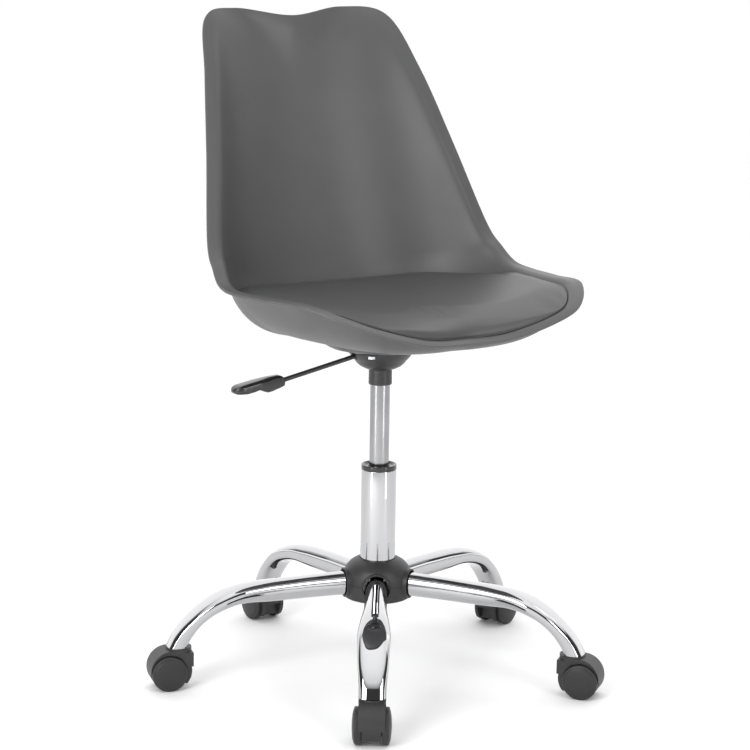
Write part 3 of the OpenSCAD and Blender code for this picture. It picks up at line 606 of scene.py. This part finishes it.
tube_r, tube_foot, tube_head = span("pressure_tube")
socket_r, socket_foot, socket_head = span("socket_tube")
socket_bore, ring_depth, edge_break = tube_r + 0.05, 0.25, 0.5
ring_z = np.linspace(socket_foot + 9, socket_foot + 25, 9)
rings = [(socket_r - ring_depth * (n % 2), z) for n, z in enumerate(ring_z)]
socket_profile = [
    (socket_bore, socket_foot),
    (socket_r, socket_foot),
    *rings,
    (socket_r, socket_head),
    (socket_bore, socket_head),
]
socket_mesh = turned("socket_barrel", rounded(socket_profile, edge_break))
piece("socket_barrel", socket_mesh, black_steel, "seat", "black_steel", "socket_tube")


# Gas lift. A centreless-ground steel pressure tube slides in the column's bush over a fixed
# piston rod. Gland, piston and valve are inside it.
ground_steel = grained(
    "ground_steel",
    (0.34, 0.34, 0.35),
    0.22,
    1.0,
    0.02,
    mottle=0.05,
    metallic=1.0,
    stretch=(1, 1, 30),
    mottle_mm=30,
)
tube_wall = 1.5
tube_mesh = turned("lift_tube", pipe(tube_foot, tube_head, tube_r, tube_r - tube_wall, edge_break))
piece("lift_tube", tube_mesh, ground_steel, "seat", "tube_steel", "pressure_tube")
brass = grained("brass", (0.60, 0.42, 0.16), 0.25, 0.8, 0.02, mottle=0.1, metallic=1.0, stretch=(1, 1, 20))
acetal = grained("acetal", (0.05, 0.05, 0.052), 0.35, 0.6, 0.02, mottle=0.1)
rubber = grained("stop_rubber", (0.018, 0.018, 0.018), 0.7, 0.7, 0.05, mottle=0.2)
finish(ground_steel, "valve_pin", "piston_rod")
finish(brass, "valve_body")
finish(acetal, "rod_gland", "guide_bush", "piston")
finish(rubber, "bump_stop")


# Height lever. A black coated steel rod swings on its pin and presses the valve. A glossy
# moulded paddle is pushed on its end.
finish(black_steel, "lever_rod")
gloss_black = grained(
    "gloss_black", (0.012, 0.012, 0.013), 0.16, 6.0, 0.05, mottle=0.2, Specular_IOR_Level=0.6
)
paddle_low, paddle_high = [c * 1000 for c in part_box("lever_handle")]
paddle_length = paddle_high.x - paddle_low.x
# Upper, lower and half-width lines of the paddle, by the distance from its root
top_line = np.array(
    [(0, 4.2), (2, 6.6), (7, 8.5), (22, 7.4), (40, 4.6), (57, 1.8), (70, -0.6), (76, -3.2), (79, -7)]
)
foot_line = np.array(
    [(0, -7.2), (6, -9.4), (19, -13.2), (27, -13.9), (34, -11.4), (40, -8.8)]
    + [(48, -11.2), (59, -13), (73, -12.4), (77.5, -10.6), (79, -7)]
)
half_line = np.array(
    [(0, 7.2), (2, 8), (14, 8.6), (24, 10.5), (34, 12.5), (66.5, 12.5)]
    + [(72, 11.2), (76, 8.2), (78, 4.8), (79, 0.6)]
)
paddle_root = np.array([paddle_high.x, 0, paddle_high.z - top_line[:, 1].max()])


def along(line, x):
    """Values of a line of points at x, eased between the points by a smooth running mean."""
    reach = 9
    window = 2 * reach + 1
    fine = np.linspace(line[0, 0], line[-1, 0], 400)
    value = np.interp(fine, line[:, 0], line[:, 1])
    padded = np.pad(value, reach, mode="reflect", reflect_type="odd")
    return np.interp(x, fine, np.convolve(padded, np.ones(window) / window, "valid"))


paddle_rows, paddle_sides, tip_gap, section_power = 60, 40, 0.2, 0.5
out = np.hstack([0, np.linspace(0, 1, paddle_rows) ** 0.8 * (paddle_length - tip_gap)])
around = np.arange(paddle_sides) / paddle_sides * 2 * math.pi
middle = (along(top_line, out) + along(foot_line, out)) / 2
tall = (along(top_line, out) - along(foot_line, out)) / 2
wide = np.maximum(along(half_line, out), 0.3)
closed_root = np.ones_like(out)
closed_root[0] = 0


def square_off(w):
    """Sine or cosine raised to a power under one, which squares off the oval section."""
    return np.sign(w) * np.abs(w) ** section_power


paddle_points = np.stack(
    [
        -out[:, None] + 0 * around,
        (wide * closed_root)[:, None] * square_off(np.cos(around)),
        middle[:, None] + (tall * closed_root)[:, None] * square_off(np.sin(around)),
    ],
    -1,
)
tip = np.array([[-paddle_length, 0, middle[-1]]]).repeat(paddle_sides, 0)[None]
paddle_points = np.concatenate([paddle_points, tip]) + paddle_root
paddle_mesh = grid_mesh("lever_paddle", paddle_points, cols_closed=True)
piece("lever_paddle", paddle_mesh, gloss_black, "lever", "gloss_black_plastic", "lever_handle")


# Column. A polished chromed steel tube, with a dished black plastic ring pushed on its top.
chrome = grained("chrome", (0.50, 0.50, 0.51), 0.02, 45.0, 0.01, mottle=0.02, metallic=1.0)
column_r, column_foot, column_head = span("column_tube")
column_wall = 1.8
column_profile = pipe(column_foot, column_head, column_r, column_r - column_wall, 0.6)
column_mesh = turned("column_barrel", column_profile, 128)
piece("column_barrel", column_mesh, chrome, "base", "column_chrome", "column_tube")
cap_r, cap_foot, cap_head = span("column_cap")
cap_inner, cap_dish, cap_rim = tube_r + 0.4, 2.6, 2.6
cap_profile = [
    (cap_inner, cap_foot),
    (cap_r, cap_foot),
    (cap_r, cap_head),
    (cap_r - cap_rim, cap_head),
    (cap_r - 5.5, cap_head - cap_dish),
    (cap_inner + 1.5, cap_head - cap_dish),
    (cap_inner, cap_head - 3.4),
]
cap_mesh = turned("column_ring", rounded(cap_profile, 0.7))
piece("column_ring", cap_mesh, gloss_black, "base", "gloss_black_plastic", "column_cap")


# Hub cover. Two moulded halves in black nylon with a fine spark texture, which meet on the
# legs' axis and have an arched collar over each leg.
nylon = grained("hub_nylon", (0.027, 0.027, 0.028), 0.46, 0.7, 0.05, mottle=0.12, Specular_IOR_Level=0.4)
hub_edge_mm, hood_edge_mm = 0.35, 0.4
softened("hub_cover_upper", "cover_upper", nylon, "base", "hub_plastic", hub_edge_mm, 30)
softened("hub_cover_lower", "cover_lower", nylon, "base", "hub_plastic", hub_edge_mm, 30)


# Legs. Five chromed steel tubes, pressed flat and wide towards the foot, which leave the hub
# level, sweep down in one bend and are cut off level at the foot.
LEG_TURN, LEGS = math.radians(-33 - 90), 5
foot_z, foot_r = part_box("leg_1")[0].z * 1000, 290.0
leg_fall, leg_end, leg_bend, foot_rise = math.radians(1.6), math.radians(62), 124.0, 4.3
hub_power, foot_power, power_by, leg_wall = 0.95, 0.68, 0.6, 2
leg_rings, leg_sides = 84, 56
root_r, straight_share = 29.25, 0.3
bend_r_at = foot_r + 0.5 - leg_bend * (math.sin(leg_end) - math.sin(leg_fall))
bend_z_at = foot_z + foot_rise + leg_bend * (math.cos(leg_fall) - math.cos(leg_end))
hub_z = bend_z_at + (bend_r_at - root_r) * math.tan(leg_fall)
# Half width and half height of the section, by the share of the way out to the foot
half_wide = np.array(
    [(0.1, 15.5), (0.37, 15), (0.55, 17.5), (0.71, 21), (0.79, 23), (0.85, 22), (0.92, 21), (1, 18.5)]
)
half_tall = np.array(
    [(0.1, 17), (0.37, 16), (0.55, 15.5), (0.71, 12.5), (0.79, 11), (0.85, 10), (0.92, 9.5), (1, 12)]
)


def leg_surface(rings, sides, shrink):
    """Oval section carried along a straight run and a bend, nearly round at the hub and squarer
    towards the foot. Its last ring is cut level."""
    u = np.linspace(0, 1, rings)
    run = np.clip(u / straight_share, 0, 1)
    bent = np.clip((u - straight_share) / (1 - straight_share), 0, 1)
    turn = leg_fall + (leg_end - leg_fall) * bent
    r = root_r + (bend_r_at - root_r) * run + leg_bend * (np.sin(turn) - math.sin(leg_fall))
    z = hub_z - (bend_r_at - root_r) * run * math.tan(leg_fall)
    z = z - leg_bend * (math.cos(leg_fall) - np.cos(turn))
    w = (along(half_wide, r / foot_r) - shrink)[:, None]
    h = (along(half_tall, r / foot_r) - shrink)[:, None]
    around = (np.arange(sides) + 0.5) / sides * 2 * math.pi
    power = (hub_power + (foot_power - hub_power) * np.clip(u / power_by, 0, 1))[:, None]
    y = w * np.sign(np.cos(around)) * np.abs(np.cos(around)) ** power
    k = h * np.sign(np.sin(around)) * np.abs(np.sin(around)) ** power
    c, s = np.cos(turn)[:, None], np.sin(turn)[:, None]
    pr, pz = r[:, None] + k * s, z[:, None] + k * c
    past = (pz - foot_z) / np.maximum(s, 0.3)
    past = np.where(np.arange(rings)[:, None] == rings - 1, past, np.minimum(past, 0))
    return np.stack([pr + past * c, y, pz - past * s], -1)


def about_column(points, turn):
    """Points turned about the column's axis."""
    x, y, c, s = points[..., 0], points[..., 1], math.cos(turn), math.sin(turn)
    return np.stack([x * c - y * s, x * s + y * c, points[..., 2]], -1)


leg_inside = leg_surface(leg_rings, leg_sides, leg_wall)[::-1]
leg_points = np.concatenate([leg_surface(leg_rings, leg_sides, 0), leg_inside])
for k in range(LEGS):
    name = f"leg_{k + 1}"
    turn = LEG_TURN + k * 2 * math.pi / LEGS
    leg_mesh = grid_mesh(name, about_column(leg_points, turn), True, True, 50)
    piece(f"{name}_tube", leg_mesh, chrome, "base", "column_chrome", name)


# Casters. A nylon hood with a web between two wheels swivels on the steel stem in each
# foot, and the wheels turn on a steel axle. Each wheel has a domed face and a raised tread.
wheel_nylon = grained(
    "wheel_nylon", (0.024, 0.024, 0.025), 0.45, 0.8, 0.04, mottle=0.1, Specular_IOR_Level=0.35
)
axle_steel = grained("axle_steel", (0.55, 0.55, 0.56), 0.3, 0.6, 0.02, mottle=0.06, metallic=1.0)
wheel_r, wheel_wide, wheel_in, trail, axle_r = 25.0, 13.4, 13.1, 16.0, 3.05
blind = wheel_wide - 2.2
# Outline of a wheel by radius and width: bore, inner face, tread, step, dome, blind end
wheel_profile = rounded(
    [
        (axle_r, 0),
        (wheel_r - 1.2, 0),
        (wheel_r, 1.4),
        (wheel_r, wheel_wide - 4.6),
        (wheel_r - 0.8, wheel_wide - 3.4),
        (wheel_r - 2.8, wheel_wide - 2.6),
        (wheel_r - 3.6, wheel_wide - 2.9),
        (0.8 * wheel_r, wheel_wide - 1.9),
        (0.62 * wheel_r, wheel_wide - 1.0),
        (0.3 * wheel_r, wheel_wide - 0.2),
        (0, wheel_wide),
        (0, blind),
        (axle_r, blind),
    ],
    1.1,
)
wheel_r_at, wheel_w_at = wheel_profile[:, :1], wheel_profile[:, 1:]
wheel_around = np.arange(72) / 72 * 2 * math.pi
for k in range(LEGS):
    turn = LEG_TURN + k * 2 * math.pi / LEGS
    body = f"caster_{k + 1}"
    softened(f"caster_hood_{k + 1}", f"hood_{k + 1}", nylon, body, "hub_plastic", hood_edge_mm, 30)
    finish(axle_steel, f"caster_axle_{k + 1}")
    for side_name, sign in (("left", 1), ("right", -1)):
        out = foot_r + trail + wheel_r_at * np.cos(wheel_around)
        across = sign * (wheel_in + wheel_w_at) + 0 * wheel_around
        up = wheel_r + wheel_r_at * np.sin(wheel_around)
        name = f"wheel_{k + 1}_{side_name}"
        wheel_mesh = grid_mesh(name, about_column(np.stack([out, across, up], -1), turn), True, True)
        piece(f"{name}_disc", wheel_mesh, wheel_nylon, name, "wheel_plastic", name)
